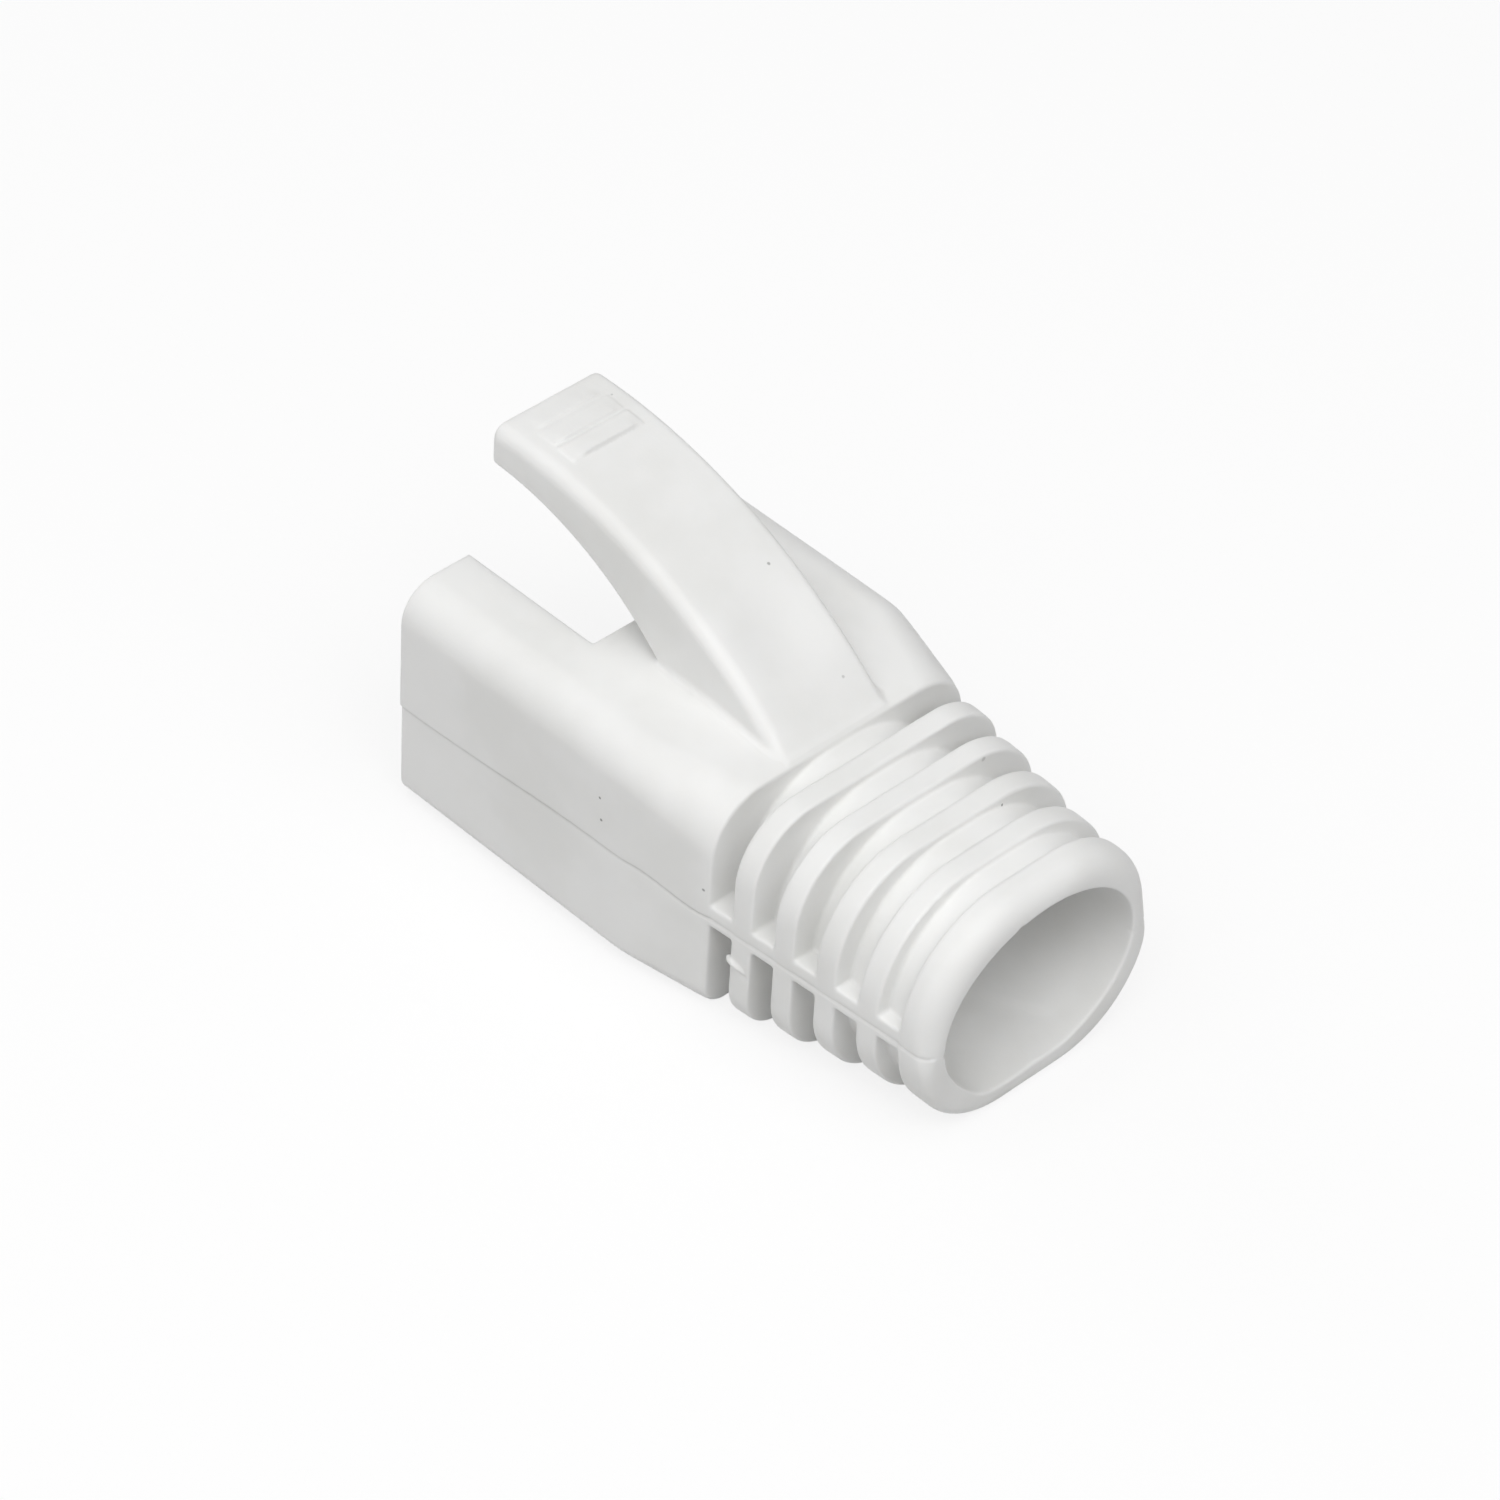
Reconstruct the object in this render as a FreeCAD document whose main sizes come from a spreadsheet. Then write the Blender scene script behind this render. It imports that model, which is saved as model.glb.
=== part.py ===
import FreeCAD, Part
import math
import os
import Sketcher

# RJ45 strain relief boot: one soft moulding. A hood slides over the back of the plug, a ribbed
# sleeve grips the cable, and a sprung tongue arches forward over the plug's latch.
#
# While it is drawn, X runs from the mouth to the cable end, Y across, Z up, and Z = 0 is the
# parting plane of the two mould halves. The body's Placement then puts the row's origin at the
# centre of the bottom of the bounding box.

SIZES = [
    # hood
    ("hoodHalf", 7.1, "half the hood's outside width"),
    ("hoodUp", 5.5, "parting plane up to the roof"),
    ("hoodDown", 4.3, "parting plane down to the underside"),
    ("hoodRoofRadius", 1.65, "long roof corners"),
    ("hoodBaseRadius", 0.6, "long underside corners"),
    ("hoodStraight", 12.2, "length with parallel sides"),
    ("mouthRound", 0.25, "outer rounding of the mouth"),
    # shoulder, where the hood closes in to its rear face
    ("rearFace", 16.07, "hood's rear face from the mouth"),
    ("rearHalf", 6.42, "half width there"),
    ("rearUp", 5.02, "roof height there"),
    ("rearDown", 4.7, "underside depth there"),
    ("rearRoofRadius", 2.4, "roof corners there"),
    ("rearBaseRadius", 1.15, "underside corners there"),
    # rings round the sleeve, first to last
    ("ringStart", 17.13, "front face of the first ring"),
    ("ringPitch", 2.0, "ring spacing"),
    ("ringThick", 0.97, "ring length along the cable"),
    ("firstHalf", 6.3, "first ring, half width"),
    ("firstUp", 5.03, "first ring, height"),
    ("firstDown", 4.7, "first ring, depth"),
    ("firstRoofRadius", 2.8, "first ring, upper corners"),
    ("firstBaseRadius", 1.85, "first ring, lower corners"),
    ("lastHalf", 5.88, "last ring, half width"),
    ("lastUp", 4.88, "last ring, height"),
    ("lastDown", 4.65, "last ring, depth"),
    ("lastRoofRadius", 4.3, "last ring, upper corners"),
    ("lastBaseRadius", 3.75, "last ring, lower corners"),
    ("ringTaper", 3, "draft of the rings, in degrees"),
    ("ringEase", 0.1, "broken edges of the rings"),
    # end ring, the bead at the cable end
    ("endStart", 25.13, "front face of the end ring"),
    ("bootLength", 26.6, "cable end from the mouth"),
    ("endHalf", 5.8, "half width"),
    ("endUp", 4.9, "height"),
    ("endDown", 4.7, "depth"),
    ("endRoofRadius", 4.5, "upper corners"),
    ("endBaseRadius", 4.3, "lower corners"),
    ("rimRound", 0.75, "outer rounding of the cable end"),
    # oval tube that shows between the rings, and the two spines along the parting plane
    ("tubeFrontHalf", 4.95, "front half width"),
    ("tubeFrontUp", 4.76, "front height"),
    ("tubeFrontDown", 4.4, "front depth"),
    ("tubeFrontRoofRadius", 4.55, "front upper corners"),
    ("tubeFrontBaseRadius", 3.7, "front lower corners"),
    ("tubeBackHalf", 5.3, "back half width"),
    ("tubeBackUp", 4.64, "back height"),
    ("tubeBackDown", 4.5, "back depth"),
    ("tubeBackRoofRadius", 4.5, "back upper corners"),
    ("tubeBackBaseRadius", 4.3, "back lower corners"),
    ("spineHigh", 1.0, "height of the side spines"),
    ("spineFrontHalf", 6.36, "spines' front, half width over both"),
    ("spineBackHalf", 5.72, "spines' back, half width over both"),
    # inside: plug pocket, funnel and cable bore
    ("wall", 1.2, "hood wall"),
    ("pocketDepth", 11.4, "plug pocket's straight part"),
    ("pocketRadius", 0.6, "plug pocket corners"),
    ("funnelEnd", 14.8, "back of the funnel"),
    ("funnelTaper", 13, "funnel's slope, in degrees"),
    ("funnelHalf", 4.6, "funnel's back, half width"),
    ("funnelUp", 3.4, "funnel's back, height"),
    ("funnelDown", 2.2, "funnel's back, depth"),
    ("funnelRadius", 2.1, "funnel's back, corners"),
    ("boreTaper", 1.7, "slope of the cable bore, in degrees"),
    ("boreHalf", 4.79, "bore's half width at the cable end"),
    ("boreHigh", 3.92, "bore's half height there"),
    ("boreSideRadius", 3.2, "bore's arcs at the sides"),
    # slot in the roof for the plug's latch
    ("slotLength", 6.8, "from the mouth backwards"),
    ("slotHalf", 3.72, "half width"),
    # tongue over the latch
    ("tongueHalf", 2.72, "half width"),
    ("tipBase", 9.3, "underside of the tip"),
    ("underArc", 13.0, "arc of the underside"),
    ("topCrown", 11.0, "highest line of the top"),
    ("topArc", 21.5, "arc of the top"),
    ("crownBack", 0.8, "highest line behind the tip"),
    ("rootBack", 15.75, "back of the root"),
    ("rootSink", 4.5, "how low the root reaches into the roof"),
    ("rootFront", 5.3, "where the underside arc enters the roof"),
    ("tongueRound", 0.6, "long upper edges"),
    ("tipRound", 0.3, "edges of the tip"),
    # three grip bars on the tip
    ("gripHalf", 1.4, "half width"),
    ("gripBack", 0.4, "first bar's steep face behind the crown"),
    ("gripPitch", 1.05, "bar spacing"),
    ("gripLong", 0.5, "bar length along the tongue"),
    ("gripSlope", 0.16, "length of the bar's sloping face"),
    ("gripRise", 0.16, "bar height"),
]

RINGS = 4
PROUD = 1.0    # how far cutting tools start outside what they cut

doc = FreeCAD.newDocument("Rj45Boot")
sheet = doc.addObject("Spreadsheet::Sheet", "dims")


def addCell(alias, content, note=""):
    """Put one size in the sheet's next row, under a word that expressions can use."""
    row = addCell.row = addCell.row + 1
    sheet.set(f"A{row}", alias)
    sheet.set(f"B{row}", str(content))
    sheet.set(f"C{row}", note)
    sheet.setAlias(f"B{row}", alias)


addCell.row = 0
for alias, content, note in SIZES:
    addCell(alias, content, note)

# Each ring's section lies on a straight run between the first ring and the last.
for ring in range(RINGS):
    share = ring / (RINGS - 1)
    addCell(f"ringAt{ring}", f"=ringStart + {ring} * ringPitch")
    for part in ("Half", "Up", "Down", "RoofRadius", "BaseRadius"):
        addCell(f"ring{part}{ring}x", f"=first{part} + (last{part} - first{part}) * {share:.6f}")
addCell("endThick", "=bootLength - endStart")
addCell("pocketHalf", "=hoodHalf - wall")
addCell("pocketUp", "=hoodUp - wall")
addCell("pocketDown", "=hoodDown - wall")
addCell("tubeStart", "=rearFace - 0.6")
addCell("tubeEnd", "=endStart + 0.3")
addCell("funnelLong", "=funnelEnd - pocketDepth + 0.01")
addCell("boreLong", "=bootLength - pocketDepth + 0.1")
addCell("boreSideCentre", "=boreHalf - boreSideRadius")
addCell(
    "boreFlatRadius",
    "=(boreSideCentre^2 + boreHigh^2 - boreSideRadius^2) / (2 * (boreHigh - boreSideRadius))",
)
addCell("crownDrop", "=topArc - topCrown")
addCell("slotCut", "=wall + 0.4")
addCell("spineStart", "=rearFace - 0.2")
addCell("spineEnd", "=endStart + 0.3")
addCell("tongueWide", "=2 * tongueHalf")
addCell("gripWide", "=2 * gripHalf")
addCell("gripAhead", "=gripLong - gripBack")
addCell("gripTop", "=topArc + gripRise")
addCell("gripFoot", "=topArc - 0.3")
addCell("gripTurn", "=2 * gripPitch / topArc * 180 / pi")
addCell("halfLength", "=bootLength / 2")
doc.recompute()

body = doc.addObject("PartDesign::Body", "boot")
body.Label = "boot"
planes = {feature.Role: feature for feature in body.Origin.OriginFeatures}


def num(alias):
    return float(getattr(sheet, alias))


def link(target, path, alias):
    """Bind a property to a word in the sheet, or leave a plain number as it is."""
    if isinstance(alias, str):
        target.setExpression(path, f"dims.{alias}")


def addSketch(name, plane, offset=None):
    """Sketch on one of the body's origin planes, moved along its normal by a sheet size."""
    sketch = body.newObject("Sketcher::SketchObject", name)
    sketch.AttachmentSupport = [(planes[plane], "")]
    sketch.MapMode = "FlatFace"
    if offset is not None:
        link(sketch, "AttachmentOffset.Base.z", offset)
    return sketch


def pin(sketch, kind, *where, alias, name=None):
    """Add a driving dimension that follows the sheet."""
    name = name or alias
    index = sketch.addConstraint(Sketcher.Constraint(kind, *where, num(alias)))
    sketch.renameConstraint(index, name)
    link(sketch, f"Constraints.{name}", alias)


def vec(x, y):
    return FreeCAD.Vector(x, y, 0)


def roundedSection(name, offset, half, up, down, roofRadius, baseRadius):
    """Section across the boot: a box with one radius on its roof corners and one below."""
    sketch = addSketch(name, "YZ_Plane", offset)
    h, u, d, rt, rb = (num(a) for a in (half, up, down, roofRadius, baseRadius))
    quarter = math.pi / 2

    def line(a, b):
        return sketch.addGeometry(Part.LineSegment(vec(*a), vec(*b)))

    def arc(centre, radius, turn):
        circle = Part.Circle(vec(*centre), FreeCAD.Vector(0, 0, 1), radius)
        return sketch.addGeometry(Part.ArcOfCircle(circle, turn * quarter, (turn + 1) * quarter))

    edges = [
        line((-h + rb, -d), (h - rb, -d)),
        arc((h - rb, -d + rb), rb, -1),
        line((h, -d + rb), (h, u - rt)),
        arc((h - rt, u - rt), rt, 0),
        line((h - rt, u), (-h + rt, u)),
        arc((-h + rt, u - rt), rt, 1),
        line((-h, u - rt), (-h, -d + rb)),
        arc((-h + rb, -d + rb), rb, 2),
    ]
    for this, following in zip(edges, edges[1:] + edges[:1]):
        sketch.addConstraint(Sketcher.Constraint("Tangent", this, 2, following, 1))
    sketch.addConstraint(Sketcher.Constraint("Symmetric", 0, 1, 0, 2, -2))
    sketch.addConstraint(Sketcher.Constraint("Vertical", 2))
    sketch.addConstraint(Sketcher.Constraint("Horizontal", 4))
    sketch.addConstraint(Sketcher.Constraint("Vertical", 6))
    sketch.addConstraint(Sketcher.Constraint("Equal", 1, 7))
    sketch.addConstraint(Sketcher.Constraint("Equal", 3, 5))
    pin(sketch, "DistanceX", -1, 1, 2, 1, alias=half, name="halfWidth")
    pin(sketch, "DistanceY", -1, 1, 4, 1, alias=up, name="height")
    pin(sketch, "DistanceY", 0, 1, -1, 1, alias=down, name="depth")
    pin(sketch, "Radius", 1, alias=baseRadius, name="baseRadius")
    pin(sketch, "Radius", 3, alias=roofRadius, name="roofRadius")
    return sketch


def ovalSection(name, offset, sideCentre, sideRadius, flatRadius):
    """Oval of four arcs, centred on the parting plane: tight at the sides, flatter above."""
    sketch = addSketch(name, "YZ_Plane", offset)
    reach, r, flat = (num(size) for size in (sideCentre, sideRadius, flatRadius))
    turn = math.acos(reach / (flat - r))
    sink = math.sqrt((flat - r) ** 2 - reach ** 2)
    arcs = (
        ((reach, 0), r, -turn, turn),
        ((0, -sink), flat, turn, math.pi - turn),
        ((-reach, 0), r, math.pi - turn, math.pi + turn),
        ((0, sink), flat, math.pi + turn, 2 * math.pi - turn),
    )
    for centre, radius, start, end in arcs:
        circle = Part.Circle(vec(*centre), FreeCAD.Vector(0, 0, 1), radius)
        sketch.addGeometry(Part.ArcOfCircle(circle, start, end))
    for arc in range(4):
        sketch.addConstraint(Sketcher.Constraint("Tangent", arc, 2, (arc + 1) % 4, 1))
    sketch.addConstraint(Sketcher.Constraint("Symmetric", 1, 1, 1, 2, -2))
    sketch.addConstraint(Sketcher.Constraint("Symmetric", 0, 1, 0, 2, -1))
    sketch.addConstraint(Sketcher.Constraint("Equal", 1, 3))
    pin(sketch, "DistanceX", -1, 1, 0, 3, alias=sideCentre)
    pin(sketch, "Radius", 0, alias=sideRadius)
    pin(sketch, "Radius", 1, alias=flatRadius)
    return sketch


def polygon(sketch, points):
    """Closed run of straight lines whose corners are given as (x, y) sheet words or numbers."""
    at = [tuple(num(c) if isinstance(c, str) else c for c in p) for p in points]
    count = len(at)
    for i in range(count):
        sketch.addGeometry(Part.LineSegment(vec(*at[i]), vec(*at[(i + 1) % count])))
    for i in range(count):
        sketch.addConstraint(Sketcher.Constraint("Coincident", i, 2, (i + 1) % count, 1))


def extrude(kind, name, sketch, length, both=False):
    """Pad or Pocket of a sketch; with both, half the length goes to each side of it."""
    feature = body.newObject(f"PartDesign::{kind}", name)
    feature.Profile = sketch
    if both:
        feature.SideType = "Symmetric"
    link(feature, "Length", length)
    sketch.Visibility = False
    return feature


def loft(kind, name, first, last):
    feature = body.newObject(f"PartDesign::{kind}Loft", name)
    feature.Profile = first
    feature.Sections = [last]
    feature.Ruled = True
    return feature


def namesWhere(feature, test):
    """Names of the edges whose bounding box passes the test."""
    return [f"Edge{i}" for i, edge in enumerate(feature.Shape.Edges, start=1) if test(edge.BoundBox)]


def fillet(name, base, radius, test):
    doc.recompute()
    names = namesWhere(base, test)
    feature = body.newObject("PartDesign::Fillet", name)
    feature.Base = (base, names)
    link(feature, "Radius", radius)
    doc.recompute()
    return feature


# Hood: a straight box, then the shoulder that closes in to the rear face.
mouth = roundedSection(
    "mouthSection", None, "hoodHalf", "hoodUp", "hoodDown", "hoodRoofRadius", "hoodBaseRadius"
)
hood = extrude("Pad", "hood", mouth, "hoodStraight")
shoulder = loft(
    "Additive",
    "shoulder",
    roundedSection("shoulderFront", "hoodStraight", "hoodHalf", "hoodUp", "hoodDown",
                   "hoodRoofRadius", "hoodBaseRadius"),
    roundedSection("shoulderBack", "rearFace", "rearHalf", "rearUp", "rearDown",
                   "rearRoofRadius", "rearBaseRadius"),
)

# Sleeve: an oval tube, and five rings round it that are boxier than the tube, so the grooves
# between them are shallow on top and deep at the corners.
tube = loft(
    "Additive",
    "tube",
    roundedSection("tubeFront", "tubeStart", "tubeFrontHalf", "tubeFrontUp", "tubeFrontDown",
                   "tubeFrontRoofRadius", "tubeFrontBaseRadius"),
    roundedSection("tubeBack", "tubeEnd", "tubeBackHalf", "tubeBackUp", "tubeBackDown",
                   "tubeBackRoofRadius", "tubeBackBaseRadius"),
)
for ring in range(RINGS):
    section = roundedSection(
        f"ringSection{ring}", f"ringAt{ring}",
        *(f"ring{part}{ring}x" for part in ("Half", "Up", "Down", "RoofRadius", "BaseRadius")),
    )
    pad = extrude("Pad", f"ring{ring}", section, "ringThick")
    pad.setExpression("TaperAngle", "-dims.ringTaper")
endSection = roundedSection(
    "endSection", "endStart", "endHalf", "endUp", "endDown", "endRoofRadius", "endBaseRadius"
)
endRing = extrude("Pad", "endRing", endSection, "endThick")
doc.recompute()


def outlineNames(feature, low, high):
    """Outer edges of the flat faces that stand square to the cable between two X positions."""
    shape = feature.Shape
    names = set()
    for face in shape.Faces:
        if face.BoundBox.XLength > 1e-3 or not low < face.BoundBox.XMin < high:
            continue
        for edge in face.OuterWire.Edges:
            names.update(f"Edge{i}" for i, e in enumerate(shape.Edges, start=1) if e.isSame(edge))
    return sorted(names, key=lambda name: int(name[4:]))


easedRings = body.newObject("PartDesign::Chamfer", "easedRings")
easedRings.Base = (endRing, outlineNames(endRing, num("ringStart") - 0.1, num("endStart") + 0.1))
link(easedRings, "Size", "ringEase")
doc.recompute()
rim = body.newObject("PartDesign::Fillet", "rim")
rim.Base = (easedRings, outlineNames(easedRings, num("bootLength") - 0.1, num("bootLength") + 0.1))
link(rim, "Radius", "rimRound")
doc.recompute()

# Spines: one flat bar right across the tube, which the bore later leaves as two.
spineSketch = addSketch("spineOutline", "XY_Plane")
polygon(spineSketch, [
    ("spineStart", -num("spineFrontHalf")),
    ("spineEnd", -num("spineBackHalf")),
    ("spineEnd", "spineBackHalf"),
    ("spineStart", "spineFrontHalf"),
])
spineSketch.addConstraint(Sketcher.Constraint("Symmetric", 1, 1, 1, 2, -1))
spineSketch.addConstraint(Sketcher.Constraint("Symmetric", 3, 1, 3, 2, -1))
pin(spineSketch, "DistanceX", -1, 1, 3, 1, alias="spineStart")
pin(spineSketch, "DistanceX", -1, 1, 1, 1, alias="spineEnd")
pin(spineSketch, "DistanceY", -1, 1, 3, 1, alias="spineFrontHalf")
pin(spineSketch, "DistanceY", -1, 1, 1, 2, alias="spineBackHalf")
spines = extrude("Pad", "spines", spineSketch, "spineHigh", both=True)

# Tongue: its side view between two arcs, the same width all along.
profile = addSketch("tongueProfile", "XZ_Plane")
crownZ = num("topCrown") - num("topArc")
underZ = num("tipBase") - num("underArc")
tipTop = crownZ + math.sqrt(num("topArc") ** 2 - num("crownBack") ** 2)
backTop = crownZ + math.sqrt(num("topArc") ** 2 - (num("rootBack") - num("crownBack")) ** 2)
frontX = math.sqrt(num("underArc") ** 2 - (num("rootFront") - underZ) ** 2)
corners = [
    (0, num("tipBase")),
    (0, tipTop),
    (num("rootBack"), backTop),
    (num("rootBack"), num("rootSink")),
    (frontX, num("rootSink")),
    (frontX, num("rootFront")),
]


def arcBetween(sketch, centre, radius, start, end):
    """Arc drawn anticlockwise from one point to another."""
    turns = [math.atan2(y - centre[1], x - centre[0]) for x, y in (start, end)]
    circle = Part.Circle(vec(*centre), FreeCAD.Vector(0, 0, 1), radius)
    return sketch.addGeometry(Part.ArcOfCircle(circle, *turns))


profile.addGeometry(Part.LineSegment(vec(*corners[0]), vec(*corners[1])))
arcBetween(profile, (num("crownBack"), crownZ), num("topArc"), corners[2], corners[1])
for a, b in ((2, 3), (3, 4), (4, 5)):
    profile.addGeometry(Part.LineSegment(vec(*corners[a]), vec(*corners[b])))
arcBetween(profile, (0, underZ), num("underArc"), corners[5], corners[0])
meetings = ((0, 2, 1, 2), (1, 1, 2, 1), (2, 2, 3, 1), (3, 2, 4, 1), (4, 2, 5, 1), (5, 2, 0, 1))
for a, endA, b, endB in meetings:
    profile.addConstraint(Sketcher.Constraint("Coincident", a, endA, b, endB))
for line in (0, 2, 4):
    profile.addConstraint(Sketcher.Constraint("Vertical", line))
profile.addConstraint(Sketcher.Constraint("Horizontal", 3))
profile.addConstraint(Sketcher.Constraint("PointOnObject", 0, 1, -2))
profile.addConstraint(Sketcher.Constraint("PointOnObject", 5, 3, -2))
pin(profile, "DistanceY", -1, 1, 0, 1, alias="tipBase")
pin(profile, "Radius", 1, alias="topArc")
pin(profile, "Radius", 5, alias="underArc")
pin(profile, "DistanceX", -1, 1, 1, 3, alias="crownBack")
pin(profile, "DistanceY", 1, 3, -1, 1, alias="crownDrop")
pin(profile, "DistanceX", -1, 1, 2, 1, alias="rootBack")
pin(profile, "DistanceY", -1, 1, 3, 1, alias="rootSink")
pin(profile, "DistanceY", -1, 1, 4, 2, alias="rootFront")
tongue = extrude("Pad", "tongue", profile, "tongueWide", both=True)
doc.recompute()


def alongTongue(box):
    return box.XLength > 8 and box.ZMax > num("topCrown") - 0.3 and box.YLength < 1e-3


def roundTip(box):
    return box.XLength < 0.05 and box.ZMin > num("tipBase") - 0.1


tongueEdges = fillet("tongueEdges", tongue, "tongueRound", alongTongue)
tipEdges = fillet("tipEdges", tongueEdges, "tipRound", roundTip)

# Inside: the pocket for the plug, the funnel behind it and the cable bore.
pocket = extrude(
    "Pocket", "plugPocket",
    roundedSection("pocketSection", None, "pocketHalf", "pocketUp", "pocketDown", "pocketRadius",
                   "pocketRadius"),
    "pocketDepth",
)
pocket.Reversed = True
funnel = extrude(
    "Pocket", "funnel",
    roundedSection("funnelSection", "funnelEnd", "funnelHalf", "funnelUp", "funnelDown",
                   "funnelRadius", "funnelRadius"),
    "funnelLong",
)
funnel.setExpression("TaperAngle", "dims.funnelTaper")
bore = extrude(
    "Pocket", "cableBore",
    ovalSection("boreSection", "bootLength", "boreSideCentre", "boreSideRadius", "boreFlatRadius"),
    "boreLong",
)
bore.setExpression("TaperAngle", "-dims.boreTaper")

# Latch slot: open at the mouth, through the roof only.
slotSketch = addSketch("slotOutline", "XY_Plane", "hoodUp")
polygon(slotSketch, [
    (-PROUD, -num("slotHalf")),
    ("slotLength", -num("slotHalf")),
    ("slotLength", "slotHalf"),
    (-PROUD, "slotHalf"),
])
slotSketch.addConstraint(Sketcher.Constraint("Symmetric", 1, 1, 1, 2, -1))
slotSketch.addConstraint(Sketcher.Constraint("Horizontal", 0))
slotSketch.addConstraint(Sketcher.Constraint("Horizontal", 2))
slotSketch.addConstraint(Sketcher.Constraint("Vertical", 3))
slotSketch.addConstraint(Sketcher.Constraint("DistanceX", 3, 1, -1, 1, PROUD))
pin(slotSketch, "DistanceX", -1, 1, 1, 1, alias="slotLength")
pin(slotSketch, "DistanceY", -1, 1, 1, 2, alias="slotHalf")
slot = extrude("Pocket", "latchSlot", slotSketch, "slotCut")
doc.recompute()


def onHoodOutline(box):
    """On the hood's outer skin, so clear of the pocket and the slot."""
    return (
        max(abs(box.YMin), abs(box.YMax)) > num("pocketHalf") + 0.1
        or box.ZMax < -num("pocketDown") - 0.1
        or box.ZMin > num("hoodUp") - 0.01
    ) and max(abs(box.YMin), abs(box.YMax)) > num("slotHalf") + 0.01


# Soft edges that the finished moulding shows: the mouth, the slot and the cable end's inner edge.
mouthEdge = fillet(
    "mouthEdge", slot, "mouthRound",
    lambda box: box.XMax < 1e-3 and onHoodOutline(box),
)
# Grip bars: one wedge-shaped bar near the tip, repeated round the centre of the top's arc.
gripSketch = addSketch("gripProfile", "XZ_Plane")
link(gripSketch, "AttachmentOffset.Base.x", "crownBack")
gripSketch.setExpression("AttachmentOffset.Base.y", "-dims.crownDrop")
polygon(gripSketch, [
    (-num("gripAhead"), "gripFoot"),
    ("gripBack", "gripFoot"),
    ("gripBack", "gripTop"),
    (num("gripSlope") - num("gripAhead"), "gripTop"),
])
gripSketch.addConstraint(Sketcher.Constraint("Horizontal", 0))
gripSketch.addConstraint(Sketcher.Constraint("Vertical", 1))
gripSketch.addConstraint(Sketcher.Constraint("Horizontal", 2))
pin(gripSketch, "DistanceX", 0, 1, -1, 1, alias="gripAhead")
pin(gripSketch, "DistanceX", -1, 1, 1, 1, alias="gripBack")
pin(gripSketch, "DistanceY", -1, 1, 0, 1, alias="gripFoot")
pin(gripSketch, "DistanceY", -1, 1, 2, 1, alias="gripTop")
pin(gripSketch, "DistanceX", 0, 1, 2, 2, alias="gripSlope")
gripBar = extrude("Pad", "gripBar", gripSketch, "gripWide", both=True)
doc.recompute()
gripBars = body.newObject("PartDesign::PolarPattern", "gripBars")
gripBars.Originals = [gripBar]
gripBars.Axis = (gripSketch, ["N_Axis"])
gripBars.Occurrences = 3
gripBars.Mode = "Extent"
gripBars.Reversed = True
gripBars.setExpression("Angle", "dims.gripTurn")
body.Tip = gripBars

# The frame's origin is under the middle of the boot, on the plane that it rests on.
body.setExpression("Placement.Base.x", "-dims.halfLength")
body.setExpression("Placement.Base.z", "dims.endDown")
doc.recompute()

for item in doc.Objects:
    if any(word in item.State for word in ("Invalid", "Error")):
        raise RuntimeError("%s failed to build: %s" % (item.Label, item.State))
if body.Shape.isNull() or not body.Shape.isValid() or len(body.Shape.Solids) != 1:
    raise RuntimeError("the boot is not one sound solid")
for cut in (pocket, funnel, bore, slot):
    if cut.Shape.Volume >= cut.BaseFeature.Shape.Volume - 1:
        raise RuntimeError("%s cut nothing" % cut.Label)

os.makedirs("parts", exist_ok=True)
body.Shape.exportStep("parts/boot.step")
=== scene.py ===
import math

import bpy
import numpy as np
from mathutils import Matrix, Vector


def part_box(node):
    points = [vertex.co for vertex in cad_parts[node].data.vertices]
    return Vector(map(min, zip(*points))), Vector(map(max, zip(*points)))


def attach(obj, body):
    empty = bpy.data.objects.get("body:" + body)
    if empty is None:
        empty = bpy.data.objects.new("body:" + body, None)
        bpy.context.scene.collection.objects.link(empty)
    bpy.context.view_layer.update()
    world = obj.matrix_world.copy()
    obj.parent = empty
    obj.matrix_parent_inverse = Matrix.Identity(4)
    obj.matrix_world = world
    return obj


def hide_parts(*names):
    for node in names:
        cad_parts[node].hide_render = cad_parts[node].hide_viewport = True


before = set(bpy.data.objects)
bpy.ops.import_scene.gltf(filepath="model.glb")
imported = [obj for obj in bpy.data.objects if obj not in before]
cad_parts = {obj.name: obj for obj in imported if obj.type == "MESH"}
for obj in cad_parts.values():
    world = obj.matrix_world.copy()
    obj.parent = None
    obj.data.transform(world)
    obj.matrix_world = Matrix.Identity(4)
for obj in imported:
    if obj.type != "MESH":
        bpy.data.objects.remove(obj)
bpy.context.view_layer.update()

# Sizes below are in millimetres, from the mouth backwards and from the parting plane upwards.
mm = 0.001
partingUp = 4.7     # the parting plane's height over the boot's lowest point
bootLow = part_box("boot")[0]
mouthX = bootLow[0]
partingZ = bootLow[2] + partingUp * mm

# How finely the lofts are drawn
cornerSteps = 22        # points round each corner of a section
runSteps = 22           # points along each straight side
roundSteps = 6          # loops round a rounded edge
partingGap = 0.012      # half width of the step at the parting plane
sideLean = 0.02         # a normal that leans this far sideways is on a side


def place(x, y, z):
    return (mouthX + x * mm, y * mm, partingZ + z * mm)


def softRamp(x, blend):
    # zero before the start and x after it, with a soft bend between
    return (x + math.sqrt(x * x + blend * blend)) / 2


def smoothStep(x):
    x = min(max(x, 0.0), 1.0)
    return x * x * (3 - 2 * x)


def mix(a, b, share):
    return tuple(p + (q - p) * share for p, q in zip(a, b))


def spaced(start, end, step):
    count = max(2, int(round((end - start) / step)) + 1)
    return np.linspace(start, end, count)


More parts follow.
